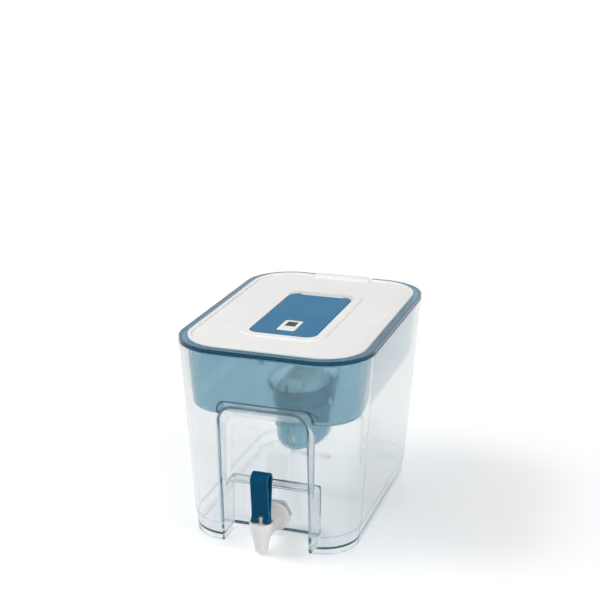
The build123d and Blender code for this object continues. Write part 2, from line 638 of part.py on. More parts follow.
with BuildPart() as funnel_body:
    loft([funnel_section(FUNNEL_UNDER, 0), funnel_section(FUNNEL_SEAT, 0)], ruled=True)
    fillet(funnel_body.edges().group_by(Axis.Z)[0], FUNNEL_EDGE_R)
    add(notch_block(0), mode=Mode.SUBTRACT)
    add(rear(notch_block(0)), mode=Mode.SUBTRACT)
    add(cup_solid(FUNNEL_WALL, CUP_UNDER, FUNNEL_UNDER + FUNNEL_WALL))
    edge = FUNNEL_RIM_IN
    extrude(rounded(level(FUNNEL_SEAT), RIM_W - 2 * edge, RIM_D - 2 * edge, RIM_R - edge), amount=FUNNEL_RIM_T)
    nub_z = FUNNEL_SEAT - NUB_H
    nub_x = tank_size(nub_z)[0] / 2 - WALL_IN - NUB_GAP
    nub_y = tank_size(nub_z)[1] / 2 - WALL_IN - NUB_GAP
    wall_x, wall_y = funnel_size(nub_z)[0] / 2 - 1, funnel_size(nub_z)[1] / 2 - 1
    with BuildSketch(level(nub_z)):
        for way in (-1, 1):
            with Locations((way * (nub_x + wall_x) / 2, NUB_Y), (way * (nub_x + wall_x) / 2, -NUB_Y)):
                Rectangle(nub_x - wall_x, NUB_W)
            with Locations((0, way * (nub_y + wall_y) / 2)):
                Rectangle(NUB_W, nub_y - wall_y)
    extrude(amount=NUB_H)
    add(basin_space.part, mode=Mode.SUBTRACT)
    add(cup_solid(0, CUP_FLOOR, FUNNEL_FLOOR + 0.01), mode=Mode.SUBTRACT)
    extrude(
        rounded(level(LEDGE_Z), LID_W + 2 * LID_GAP, LID_D + 2 * LID_GAP, LID_R + LID_GAP),
        amount=FUNNEL_RIM_T,
        mode=Mode.SUBTRACT,
    )
    # The rim dips at the back, under the lid's lip
    with BuildSketch(facing(LID_D / 2 - 2)):
        with BuildLine():
            dip_low, dip_high = FUNNEL_TOP - THUMB_DROP, FUNNEL_TOP + 1
            slope = 2 * (dip_high - dip_low)
            Polyline(
                (-THUMB_HALF, dip_low),
                (THUMB_HALF, dip_low),
                (THUMB_HALF + slope, dip_high),
                (-THUMB_HALF - slope, dip_high),
                close=True,
            )
        make_face()
    extrude(amount=-OUTSIDE, mode=Mode.SUBTRACT)
    # The post that stands in the cartridge's socket, hollow from below
    add(cylinder_along(level(CUP_FLOOR - FUNNEL_WALL / 2), POST_R, POST_H + FUNNEL_WALL / 2))
    post_top = funnel_body.edges().filter_by(GeomType.CIRCLE).filter_by(
        lambda e: abs(e.center().Z - CUP_FLOOR - POST_H) < 0.01
    )
    fillet(post_top, POST_EDGE)
    add(
        cylinder_along(level(CUP_UNDER - 1), POST_BORE, POST_H + FUNNEL_WALL + 1 - POST_TIP),
        mode=Mode.SUBTRACT,
    )
    with BuildSketch(level(CUP_UNDER - 1)):
        with Locations((0, DRAIN_Y), (0, -DRAIN_Y)):
            Circle(DRAIN_R)
    extrude(amount=FUNNEL_WALL + 2, mode=Mode.SUBTRACT)
    cut_outlets(DEEP_B, CUP_UNDER + CUP_OUTLET_RISE)
finish(funnel_body.part, "funnel_body")

# ---------------------------------------------------------------- cartridge
# A drafted oval shell with a socket for the funnel's post, closed by a flanged cap.
SOCKET_R = POST_R + POCKET_GAP
SOCKET_H = POST_H + POCKET_GAP
SHELL_TOP = CART_SEAT + CART_SOCKET
DOME_BASE = CART_TOP - DOME_GROOVE


def shell_solid(inset, bottom, top):
    """The cartridge's body moved inwards, from its bottom up to a level."""
    with BuildPart() as body:
        loft(
            [
                oval(level(bottom), BODY_A - CUP_DRAFT - inset, BODY_B - CUP_DRAFT - inset),
                oval(level(CART_SEAT), BODY_A - inset, BODY_B - inset),
            ],
            ruled=True,
        )
        fillet(body.edges().group_by(Axis.Z)[0], CART_EDGE_R - inset)
        extrude(oval(level(CART_SEAT), BODY_A - inset, BODY_B - inset), amount=top - CART_SEAT)
    return body.part


with BuildPart() as cartridge_shell:
    add(shell_solid(0, CART_UNDER, SHELL_TOP))
    add(shell_solid(CART_WALL, CART_UNDER + CART_WALL, SHELL_TOP + 1), mode=Mode.SUBTRACT)
    add(cylinder_along(level(CART_UNDER), SOCKET_R + CART_WALL, SOCKET_H + CART_WALL))
    add(cylinder_along(level(CART_UNDER - 1), SOCKET_R, SOCKET_H + 1), mode=Mode.SUBTRACT)
    cut_outlets(BODY_B, CART_UNDER + CART_OUTLET_RISE)
finish(cartridge_shell.part, "cartridge_shell")

# Two strips of mesh stand behind the outlets, clear of the drafted wall
SCREEN_INSET = CART_WALL + CUP_DRAFT
SCREEN_LOW = CART_UNDER + CART_OUTLET_RISE - OUTLET_H / 2 - SCREEN_T
with BuildPart() as outlet_screens:
    with BuildSketch(level(SCREEN_LOW)):
        Ellipse(BODY_A - SCREEN_INSET, BODY_B - SCREEN_INSET)
        Ellipse(BODY_A - SCREEN_INSET - SCREEN_T, BODY_B - SCREEN_INSET - SCREEN_T, mode=Mode.SUBTRACT)
        Rectangle(2 * SCREEN_HALF, 3 * BODY_B, mode=Mode.INTERSECT)
    extrude(amount=OUTLET_H + 2 * SCREEN_T)
finish(outlet_screens.part, "outlet_screens")

MEDIA_INSET = SCREEN_INSET + SCREEN_T + SCREEN_GAP
MEDIA_UNDER = CART_UNDER + CART_WALL + SCREEN_GAP
with BuildPart() as filter_media:
    add(shell_solid(MEDIA_INSET, MEDIA_UNDER, CART_SEAT + 1))
    socket_wall = CART_WALL + SCREEN_GAP
    add(
        cylinder_along(level(CART_UNDER), SOCKET_R + socket_wall, SOCKET_H + socket_wall),
        mode=Mode.SUBTRACT,
    )
finish(filter_media.part, "filter_media")

with BuildPart() as upper_screen:
    screen_in = CART_WALL + SCREEN_GAP
    extrude(oval(level(CART_SEAT + 1), BODY_A - screen_in, BODY_B - screen_in), amount=SCREEN_T)
finish(upper_screen.part, "upper_screen")


def tab_block(half, low, high):
    """The space at the near end of the cap in front of the grip tab's back face."""
    with BuildSketch(level(low)) as plan:
        with Locations((0, -TAB_Y + TAB_T / 2 - FLANGE_B / 2)):
            Rectangle(2 * half, FLANGE_B)
    return extrude(plan.sketch, amount=high - low, mode=Mode.PRIVATE)


with BuildPart() as cap_space:
    add(dome(DOME_BASE, DOME_A - DOME_WALL, DOME_B - DOME_WALL, DOME_H + DOME_GROOVE - DOME_WALL))
    add(
        tab_block(TAB_HALF + TAB_GROOVE + DOME_WALL, DOME_BASE - DOME_WALL, CART_TOP + DOME_H),
        mode=Mode.SUBTRACT,
    )
    with BuildSketch(level(DOME_BASE - DOME_WALL)) as cap_mouth:
        Ellipse(BODY_A - CART_WALL, BODY_B - CART_WALL)
    extrude(cap_mouth.sketch, amount=-CART_FLANGE_T, mode=Mode.ADD)
    with BuildSketch(level(SHELL_TOP)) as cap_socket:
        Ellipse(BODY_A, BODY_B)
    extrude(cap_socket.sketch, amount=-CART_FLANGE_T)

with BuildPart() as cartridge_cap:
    extrude(oval(level(CART_SEAT), FLANGE_A, FLANGE_B), amount=CART_FLANGE_T)
    fillet(cartridge_cap.edges().group_by(Axis.Z)[0], FLANGE_EDGE)
    with BuildSketch(level(DOME_BASE)):
        Ellipse(FLANGE_A - FLANGE_RIM, FLANGE_B - FLANGE_RIM)
    extrude(amount=DOME_GROOVE + 1, mode=Mode.SUBTRACT)
    add(dome(DOME_BASE, DOME_A, DOME_B, DOME_H + DOME_GROOVE))
    add(tab_block(TAB_HALF + TAB_GROOVE, DOME_BASE, CART_TOP + 2 * DOME_H), mode=Mode.SUBTRACT)
    add(cap_space.part, mode=Mode.SUBTRACT)
    with BuildSketch(facing(-TAB_Y + TAB_T / 2, z=CART_TOP)) as tab:
        with Locations((0, (TAB_H - DOME_GROOVE - DOME_WALL) / 2)):
            Rectangle(2 * TAB_HALF, TAB_H + DOME_GROOVE + DOME_WALL)
        fillet(tab.vertices().group_by(Axis.Y)[-1], TAB_ROUND)
    extrude(amount=TAB_T)
    with BuildSketch(level(CART_TOP + 2 * DOME_H)):
        with GridLocations(VENT_PITCH, 2 * VENT_Y, 2, 2):
            Circle(VENT_R)
        Circle(VENT_R)
    extrude(amount=-2 * DOME_H, mode=Mode.SUBTRACT)
    with BuildSketch(level(DOME_BASE + 1)):
        with Locations((0, -TAB_Y - TAB_T - TAB_SLIT_L / 2)):
            with GridLocations(TAB_SLIT_PITCH, 1, 2, 1):
                SlotOverall(TAB_SLIT_L, TAB_SLIT_W, rotation=90)
    extrude(amount=-DOME_WALL - 2, mode=Mode.SUBTRACT)
finish(cartridge_cap.part, "cartridge_cap")

# ---------------------------------------------------------------- lid
SKIRT_IN = FUNNEL_TOP_IN + FUNNEL_WALL + SKIRT_GAP
SKIRT_W, SKIRT_D, SKIRT_R = RIM_W - 2 * SKIRT_IN, RIM_D - 2 * SKIRT_IN, RIM_R - SKIRT_IN
WELL_UNDER = WELL_FLOOR - WELL_FLOOR_T


def well_shape(plane, grow):
    """The flap's well in plan, grown by a wall."""
    with BuildSketch(plane) as shape:
        with Locations((0, WELL_MID_Y)):
            RectangleRounded(WELL_W + 2 * grow, WELL_L + 2 * grow, WELL_R + grow)
    return shape.sketch


def cut_windows(start):
    """Pairs of small windows, either side of a bar, through one side of the skirt."""
    with BuildSketch(side(start)) as windows:
        with Locations((WINDOW_Y, LID_UNDER - WINDOW_H / 2 - WINDOW_DROP)):
            with GridLocations(WINDOW_PITCH, 1, 2, 1):
                with GridLocations((WINDOW_W + WINDOW_BAR) / 2, 1, 2, 1):
                    Rectangle((WINDOW_W - WINDOW_BAR) / 2, WINDOW_H)
    extrude(windows.sketch, amount=OUTSIDE, mode=Mode.SUBTRACT)


with BuildPart() as lid_body:
    extrude(rounded(level(LID_UNDER), LID_W, LID_D, LID_R), amount=LID_T)
    fillet(lid_body.edges().group_by(Axis.Z)[-1], LID_EDGE)
    field = LID_RIM_W
    extrude(
        rounded(level(FIELD_Z), LID_W - 2 * field, LID_D - 2 * field, LID_R - field),
        amount=LID_T,
        mode=Mode.SUBTRACT,
    )
    extrude(well_shape(level(LID_UNDER), FRAME_W), amount=LID_T)
    frame_top = lid_body.faces().filter_by(Axis.Z).group_by(Axis.Z)[-1].filter_by(
        lambda f: f.bounding_box().size.X < LID_W - FRAME_W
    )
    fillet(frame_top.edges(), FRAME_ROUND)
    with BuildSketch(level(LID_UNDER)):
        RectangleRounded(SKIRT_W, SKIRT_D, SKIRT_R)
        RectangleRounded(SKIRT_W - 2 * SKIRT_T, SKIRT_D - 2 * SKIRT_T, SKIRT_R - SKIRT_T, mode=Mode.SUBTRACT)
    extrude(amount=-SKIRT_H)
    # Stiffeners from the well to the skirt
    with BuildSketch(level(LID_UNDER)):
        with Locations((0, STIFFENER_Y), (0, -STIFFENER_Y)):
            Rectangle(SKIRT_W - SKIRT_T, STIFFENER_T)
        Rectangle(STIFFENER_T, SKIRT_D - SKIRT_T)
    extrude(amount=-STIFFENER_H)
    extrude(well_shape(level(LID_UNDER), SKIRT_T), amount=WELL_UNDER - LID_UNDER)
    extrude(well_shape(level(WELL_FLOOR), 0), amount=LID_T * 2, mode=Mode.SUBTRACT)
    # Fill hole in the well's floor, and sockets for the flap's pegs
    with BuildSketch(level(WELL_UNDER - 1)) as holes:
        with Locations((0, (FILL_FRONT_Y + FILL_BACK_Y) / 2)):
            RectangleRounded(2 * FILL_HALF, FILL_BACK_Y - FILL_FRONT_Y, FILL_R)
        with Locations((0, FILL_BACK_Y + (FILL_STEP_L - FILL_R) / 2)):
            RectangleRounded(2 * FILL_STEP_HALF, FILL_STEP_L + FILL_R, FILL_R / 2)
        with Locations((0, FLAP_MID_Y)):
            with GridLocations(2 * PEG_X, PEG_PITCH, 2, 2):
                Circle(PEG_R + PEG_GAP)
    extrude(amount=WELL_FLOOR_T + 2, mode=Mode.SUBTRACT)
    # Lip at the back, with sloped ends, over the dip in the funnel's rim
    with BuildSketch(facing(LID_D / 2 - LID_RIM_W / 2)):
        with BuildLine():
            lip_top = LID_TOP + LIP_H
            Polyline(
                (-LIP_HALF - LIP_H, FIELD_Z),
                (-LIP_HALF, lip_top),
                (LIP_HALF, lip_top),
                (LIP_HALF + LIP_H, FIELD_Z),
                close=True,
            )
        make_face()
    extrude(amount=LIP_D)
    # Ribs on the skirt's ends, and windows in its sides
    with BuildSketch(level(LID_UNDER)):
        for end in (-SKIRT_D / 2, SKIRT_D / 2):
            with Locations((0, end)):
                with GridLocations(RIB_PITCH, 1, 3, 1):
                    Rectangle(RIB_W, 2 * RIB_PROUD)
    extrude(amount=-SKIRT_H)
    cut_windows(-SKIRT_W / 2 - OUTSIDE / 2)
    cut_windows(SKIRT_W / 2 - OUTSIDE / 2)
finish(lid_body.part, "lid_body")


# ---------------------------------------------------------------- refill flap
def flap_shape(plane, inset):
    """The flap's outline moved inwards."""
    with BuildSketch(plane) as shape:
        with Locations((0, FLAP_MID_Y)):
            RectangleRounded(FLAP_W - 2 * inset, FLAP_L - 2 * inset, FLAP_R - inset)
    return shape.sketch


PLATE_UNDER = FLAP_TOP - FLAP_PLATE
FLAP_BACK = FLAP_MID_Y + FLAP_L / 2
CASE_UNDER = PLATE_UNDER - CASE_H
with BuildPart() as refill_flap:
    extrude(flap_shape(level(FLAP_UNDER), 0), amount=FLAP_T)
    fillet(refill_flap.edges().group_by(Axis.Z)[-1], FLAP_EDGE)
    extrude(flap_shape(level(FLAP_UNDER), FLAP_RIB), amount=FLAP_T - FLAP_PLATE, mode=Mode.SUBTRACT)
    # The plate is full depth under the scoop for the fingertips
    with BuildSketch(level(FLAP_UNDER)):
        with Locations((0, FLAP_BACK - SCOOP_D / 2 - 1)):
            Rectangle(2 * SCOOP_HALF, SCOOP_D)
    extrude(amount=FLAP_T - FLAP_PLATE)
    with BuildSketch(level(FLAP_TOP)):
        with Locations((0, FLAP_BACK)):
            Ellipse(SCOOP_HALF, SCOOP_D)
    extrude(amount=-SCOOP_DEEP, mode=Mode.SUBTRACT)
    with BuildSketch(level(PLATE_UNDER)):
        with Locations((0, FLAP_MID_Y)):
            with GridLocations(2 * PEG_X, PEG_PITCH, 2, 2):
                Circle(PEG_R)
    extrude(amount=FLAP_UNDER - PEG_H - PLATE_UNDER)
    chamfer(refill_flap.edges().group_by(Axis.Z)[0], PEG_EDGE)
    with BuildSketch(level(PLATE_UNDER)):
        with Locations((0, LABEL_MID_Y)):
            RectangleRounded(LABEL_W, LABEL_L, LABEL_R)
    extrude(amount=FLAP_PLATE, mode=Mode.SUBTRACT)
finish(refill_flap.part, "refill_flap")

# ---------------------------------------------------------------- change indicator
BUTTON_Z = FLAP_TOP + BUTTON_PROUD
CASE_ROOF = PLATE_UNDER - CASE_WALL
CASE_INSIDE = (CASE_W - 2 * CASE_WALL, CASE_L - 2 * CASE_WALL, CASE_R - CASE_WALL)


def label_spot(z, y):
    """A level plane on the label's middle line."""
    return level(z, y=LABEL_MID_Y + y)


with BuildPart() as indicator_case:
    extrude(rounded(label_spot(CASE_UNDER, 0), CASE_W, CASE_L, CASE_R), amount=CASE_H)
    extrude(
        rounded(label_spot(CASE_UNDER, 0), *CASE_INSIDE),
        amount=CASE_H - CASE_WALL,
        mode=Mode.SUBTRACT,
    )
    label_w, label_l = LABEL_W - 2 * LABEL_FIT, LABEL_L - 2 * LABEL_FIT
    extrude(
        rounded(label_spot(PLATE_UNDER, 0), label_w, label_l, LABEL_R - LABEL_FIT),
        amount=FLAP_PLATE,
    )
    with BuildSketch(label_spot(CASE_ROOF, DISPLAY_Y)):
        Rectangle(DISPLAY_W, DISPLAY_L)
    extrude(amount=2 * CASE_H, mode=Mode.SUBTRACT)
    with BuildSketch(label_spot(CASE_ROOF, BUTTON_Y)):
        Circle(BUTTON_R + BUTTON_GAP)
    extrude(amount=2 * CASE_H, mode=Mode.SUBTRACT)
finish(indicator_case.part, "indicator_case")

with BuildPart() as indicator_display:
    with BuildSketch(label_spot(CASE_ROOF, DISPLAY_Y)):
        Rectangle(DISPLAY_W + 2 * DISPLAY_EDGE, DISPLAY_L + 2 * DISPLAY_EDGE)
    extrude(amount=-DISPLAY_T)
    with BuildSketch(label_spot(CASE_ROOF, DISPLAY_Y)):
        Rectangle(DISPLAY_W, DISPLAY_L)
    extrude(amount=FLAP_TOP - CASE_ROOF - DISPLAY_DOWN)
finish(indicator_display.part, "indicator_display")

BOARD_TOP = CASE_ROOF - COLLAR_T - 2 * BUTTON_TRAVEL
with BuildPart() as indicator_board:
    extrude(rounded(label_spot(BOARD_TOP - BOARD_T, 0), *CASE_INSIDE), amount=BOARD_T)
finish(indicator_board.part, "indicator_board")

with BuildPart() as indicator_battery:
    with BuildSketch(label_spot(BOARD_TOP - BOARD_T, 0)):
        Circle(BATTERY_R)
    extrude(amount=-BATTERY_T)
finish(indicator_battery.part, "indicator_battery")

with BuildPart() as indicator_button:
    collar_top = CASE_ROOF - BUTTON_GAP
    with BuildSketch(label_spot(collar_top, BUTTON_Y)):
        Circle(BUTTON_R)
    extrude(amount=BUTTON_Z - collar_top)
    fillet(indicator_button.edges().group_by(Axis.Z)[-1], BUTTON_EDGE)
    with BuildSketch(label_spot(collar_top, BUTTON_Y)):
        Circle(BUTTON_R + COLLAR_W)
    extrude(amount=-COLLAR_T)
finish(indicator_button.part, "indicator_button")

with BuildPart() as indicator_cover:
    extrude(rounded(label_spot(CASE_UNDER, 0), CASE_W, CASE_L, CASE_R), amount=-COVER_T)
    extrude(rounded(label_spot(CASE_UNDER, 0), BULGE_W, BULGE_L, CASE_R), amount=-COVER_T - BULGE_H)
    fillet(indicator_cover.edges().group_by(Axis.Z)[0], COVER_EDGE)
    extrude(
        rounded(label_spot(CASE_UNDER, 0), BULGE_W - 2 * COVER_T, BULGE_L - 2 * COVER_T, CASE_R - COVER_T),
        amount=-BULGE_H,
        mode=Mode.SUBTRACT,
    )
finish(indicator_cover.part, "indicator_cover")
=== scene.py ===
from math import cos, hypot, pi, radians, sin

import bmesh
import bpy
from mathutils import Matrix, Vector


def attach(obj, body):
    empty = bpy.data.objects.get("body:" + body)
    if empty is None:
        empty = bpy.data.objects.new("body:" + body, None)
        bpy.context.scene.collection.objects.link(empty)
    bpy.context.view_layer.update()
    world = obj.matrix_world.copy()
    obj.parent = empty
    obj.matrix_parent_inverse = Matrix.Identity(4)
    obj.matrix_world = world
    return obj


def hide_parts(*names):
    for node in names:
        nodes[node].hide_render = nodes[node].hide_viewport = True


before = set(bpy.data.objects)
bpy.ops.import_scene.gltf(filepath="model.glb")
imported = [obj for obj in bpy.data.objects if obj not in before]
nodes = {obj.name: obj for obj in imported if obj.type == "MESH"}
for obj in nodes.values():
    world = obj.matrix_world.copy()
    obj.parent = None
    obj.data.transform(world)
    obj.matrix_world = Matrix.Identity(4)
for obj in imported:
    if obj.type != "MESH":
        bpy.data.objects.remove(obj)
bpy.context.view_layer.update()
bpy.ops.object.select_all(action="DESELECT")

MM = 0.001
PAINTED_LIGHT_MARK = "edge"    # the face attribute that finishes read, to paint a highlight or shade on it
PLASTIC_IOR = 1.49


# ------------------------------------------------------------------ finishes
class Signal:
    """A number that varies over a surface; sums and products of signals add Math nodes."""

    def __init__(self, finish, socket):
        self.finish, self.socket = finish, socket

    def maths(self, operation, *values):
        return self.finish.node("ShaderNodeMath", {"operation": operation}, *values)

    def __add__(self, other):
        return self.maths("ADD", self, other)

    def __sub__(self, other):
        return self.maths("SUBTRACT", self, other)

    def __rsub__(self, other):
        return self.maths("SUBTRACT", other, self)

    def __mul__(self, other):
        return self.maths("MULTIPLY", self, other)

    def __truediv__(self, other):
        return self.maths("DIVIDE", self, other)

    def __mod__(self, other):
        return self.maths("FLOORED_MODULO", self, other)

    def __gt__(self, other):
        return self.maths("GREATER_THAN", self, other)

    def __abs__(self):
        return self.maths("ABSOLUTE", self)

    __radd__ = __add__
    __rmul__ = __mul__

    def either(self, other):
        return self.maths("MAXIMUM", self, other)

    def ramp(self, low, high, start=0.0, end=1.0):
        """Rises smoothly from start at low to end at high."""
        return self.finish.node("ShaderNodeMapRange", {"interpolation_type": "SMOOTHSTEP"},
                                self, low, high, start, end)


class Finish:
    """One surface finish: a material and the nodes in it."""

    def __init__(self, name):
        self.material = bpy.data.materials.new(name)
        self.material.use_nodes = True
        self.material.node_tree.nodes.clear()

    def node(self, kind, settings=None, *values, output=0, **sockets):
        """Adds a node of a type: its settings first, then what its sockets hold."""
        tree = self.material.node_tree
        node = tree.nodes.new(kind)
        for name, value in (settings or {}).items():
            if name == "stops":
                fill_ramp(node.color_ramp, value)
            else:
                setattr(node, name, value)
        named = [(node.inputs[name.replace("_", " ")], value) for name, value in sockets.items()]
        for socket, value in list(zip(node.inputs, values)) + named:
            if isinstance(value, Signal):
                tree.links.new(value.socket, socket)
            elif value is not None:
                socket.default_value = value
        return Signal(self, node.outputs[output])

    def place(self):
        """Where a point of the surface is, in metres."""
        return self.node("ShaderNodeTexCoord", output="Object")

    def axes(self):
        """Its place as three numbers: across, along and up."""
        split = self.node("ShaderNodeSeparateXYZ", None, self.place())
        return [Signal(self, out) for out in split.socket.node.outputs]

    def noise(self, scale, detail=2.0, stretch=(1, 1, 1)):
        stretched = self.node("ShaderNodeMapping", None, self.place(), Scale=stretch)
        return self.node("ShaderNodeTexNoise", None, Vector=stretched, Scale=scale, Detail=detail)

    def edge(self):
        """1 on the faces that the modelling marks for a painted highlight or painted shade, 0 on the rest.
        """
        return self.node("ShaderNodeAttribute", {"attribute_name": PAINTED_LIGHT_MARK}, output="Fac")

    def blend(self, share, first, second):
        """A colour between two colours."""
        mix = self.node("ShaderNodeMix", {"data_type": "RGBA"}, output=2)
        sockets = mix.socket.node.inputs
        for socket, value in ((sockets[0], share), (sockets[6], first), (sockets[7], second)):
            if isinstance(value, Signal):
                self.material.node_tree.links.new(value.socket, socket)
            else:
                socket.default_value = value
        return mix

    def bump(self, height, depth, strength=1.0):
        """A surface raised by a height from 0 to 1, over a depth in metres."""
        return self.node("ShaderNodeBump", None, Strength=strength, Distance=depth, Height=height)

    def rays(self, *kinds):
        """1 for a ray of any of these kinds, 0 for the rest."""
        path = self.node("ShaderNodeLightPath").socket.node
        found = Signal(self, path.outputs[kinds[0]])
        for kind in kinds[1:]:
            found = found.either(Signal(self, path.outputs[kind]))
        return found

    def surface(self, **sockets):
        return self.node("ShaderNodeBsdfPrincipled", None, **sockets)

    def finish(self, surface, volume=None):
        tree = self.material.node_tree
        out = tree.nodes.new("ShaderNodeOutputMaterial")
        tree.links.new(surface.socket, out.inputs["Surface"])
        if volume:
            tree.links.new(volume.socket, out.inputs["Volume"])
        return self.material


def fill_ramp(ramp, stops):
    while len(ramp.elements) < len(stops):
        ramp.elements.new(1.0)
    for element, (position, colour) in zip(ramp.elements, stops):
        element.position, element.color = position, colour


def rgb(red, green, blue):
    """A colour given as the screen shows it, 0 to 255."""
    shares = [c / 255 for c in (red, green, blue)]
    return tuple(c / 12.92 if c <= 0.04045 else ((c + 0.055) / 1.055) ** 2.4 for c in shares) + (1.0,)


def shaded(colour, factor):
    return tuple(c * factor for c in colour[:3]) + (1.0,)


def clear_moulding(name, skin, edge, inside, density, shadow, roughness, shine=(1, 1, 1, 1)):
    """See-through moulded plastic. The skin and the inside tint the light that goes through,
    and on marked faces the edge tint is painted shade, darker in place of the lines that refraction draws
    along edges. Shadows are paler, as thin walls throw them."""
    finish = Finish(name)
    flow = finish.noise(9.0, detail=1.0)
    grain = finish.noise(900.0, detail=1.0)
    ripple = finish.bump(flow, depth=0.0002, strength=0.02)
    glossy = finish.surface(
        # marked faces take the darker edge tint: painted shade in place of refraction lines
        Base_Color=finish.blend(finish.edge(), skin, edge),
        Roughness=grain.ramp(0.3, 0.7, roughness * 0.8, roughness * 1.2),
        IOR=PLASTIC_IOR,
        Specular_Tint=shine,
        Transmission_Weight=1.0,
        Normal=ripple,
    )
    passing = finish.rays("Is Shadow Ray", "Is Diffuse Ray")
    pale = finish.node("ShaderNodeBsdfTransparent", None, Color=shadow)
    surface = finish.node("ShaderNodeMixShader", None, passing, glossy, pale)
    volume = finish.node("ShaderNodeVolumeAbsorption", None, Color=inside, Density=density)
    return finish.finish(surface, volume)


def moulded_plastic(name, colour, roughness, texture, gloss=0.5, edge=None, below=None):
    """Opaque moulded plastic with faint flow marks and a fine tool texture, of a given strength.
    edge is the colour painted on its marked faces, a painted highlight where lighter and painted shade
    where darker, and below a height in millimetres and the colour under it."""
    finish = Finish(name)
    flow = finish.noise(26.0, detail=3.0)
    grain = finish.noise(1600.0)
    tone = finish.blend(flow.ramp(0.3, 0.7), shaded(colour, 0.975), shaded(colour, 1.015))
    # painted highlight or painted shade on the marked faces
    if edge:
        tone = finish.blend(finish.edge(), tone, edge)
    if below:
        height, under = below
        tone = finish.blend(finish.axes()[2] > height * MM, under, tone)
    skin = finish.surface(
        Base_Color=tone,
        Roughness=flow.ramp(0.25, 0.75, roughness - 0.04, roughness + 0.05),
        IOR=PLASTIC_IOR,
        Specular_IOR_Level=gloss,
        Normal=finish.bump(grain, depth=0.00002, strength=texture),
    )
    return finish.finish(skin)


def rubber():
    finish = Finish("grey_rubber")
    grain = finish.noise(2400.0, detail=3.0)
    skin = finish.surface(
        Base_Color=finish.blend(grain.ramp(0.35, 0.65), rgb(128, 130, 132), rgb(142, 144, 146)),
        Roughness=grain.ramp(0.3, 0.7, 0.55, 0.7),
        Normal=finish.bump(grain, depth=0.00003, strength=0.5),
    )
    return finish.finish(skin)


def steel(name, colour, roughness):
    """Steel brushed level, all round."""
    finish = Finish(name)
    brushed = finish.noise(600.0, stretch=(1, 1, 40))
    skin = finish.surface(
        Base_Color=finish.blend(brushed, shaded(colour, 0.9), colour),
        Metallic=1.0,
        Roughness=brushed.ramp(0.3, 0.7, roughness, roughness + 0.12),
        Normal=finish.bump(brushed, depth=0.00001, strength=0.4),
    )
    return finish.finish(skin)


def filter_grains():
    """Dark carbon and pale resin beads."""
    finish = Finish("media")
    carbon_to_resin = {"stops": [
        (0.0, rgb(38, 38, 40)),
        (0.55, rgb(52, 50, 48)),
        (0.62, rgb(196, 178, 140)),
        (1.0, rgb(226, 212, 180)),
    ]}
    nearest = {"feature": "F1"}
    beads, kinds = [
        finish.node("ShaderNodeTexVoronoi", nearest, Vector=finish.place(), Scale=1300.0, output=output)
        for output in ("Distance", "Color")
    ]
    skin = finish.surface(
        Base_Color=finish.node("ShaderNodeValToRGB", carbon_to_resin, kinds),
        Roughness=0.55,
        Normal=finish.bump(1 - beads * 1.4, depth=0.0006, strength=0.9),
    )
    return finish.finish(skin)


def woven_mesh():
    finish = Finish("screen_mesh")
    across, along, up = finish.axes()
    pitch = 0.0009
    warp = abs((across + up * 0.3) / pitch % 1.0 - 0.5).ramp(0.18, 0.32)
    weft = abs((along + up * 0.7) / pitch % 1.0 - 0.5).ramp(0.18, 0.32)
    thread = warp.either(weft)
    skin = finish.surface(
        Base_Color=finish.blend(thread, rgb(120, 118, 112), rgb(232, 230, 222)),
        Roughness=0.5,
        Normal=finish.bump(thread, depth=0.0003, strength=0.8),
    )
    return finish.finish(skin)


def circuit_board():
    finish = Finish("board_green")
    tracks = finish.node(
        "ShaderNodeTexBrick",
        {"offset": 0.5},
        Vector=finish.place(),
        Scale=160.0,
        Color1=rgb(28, 92, 58),
        Color2=rgb(34, 104, 66),
        Mortar=rgb(20, 72, 44),
        Mortar_Size=0.03,
    )
    skin = finish.surface(
        Base_Color=tracks,
        Roughness=0.35,
        Coat_Weight=0.5,
        Normal=finish.bump(finish.noise(500.0), depth=0.00005),
    )
    return finish.finish(skin)


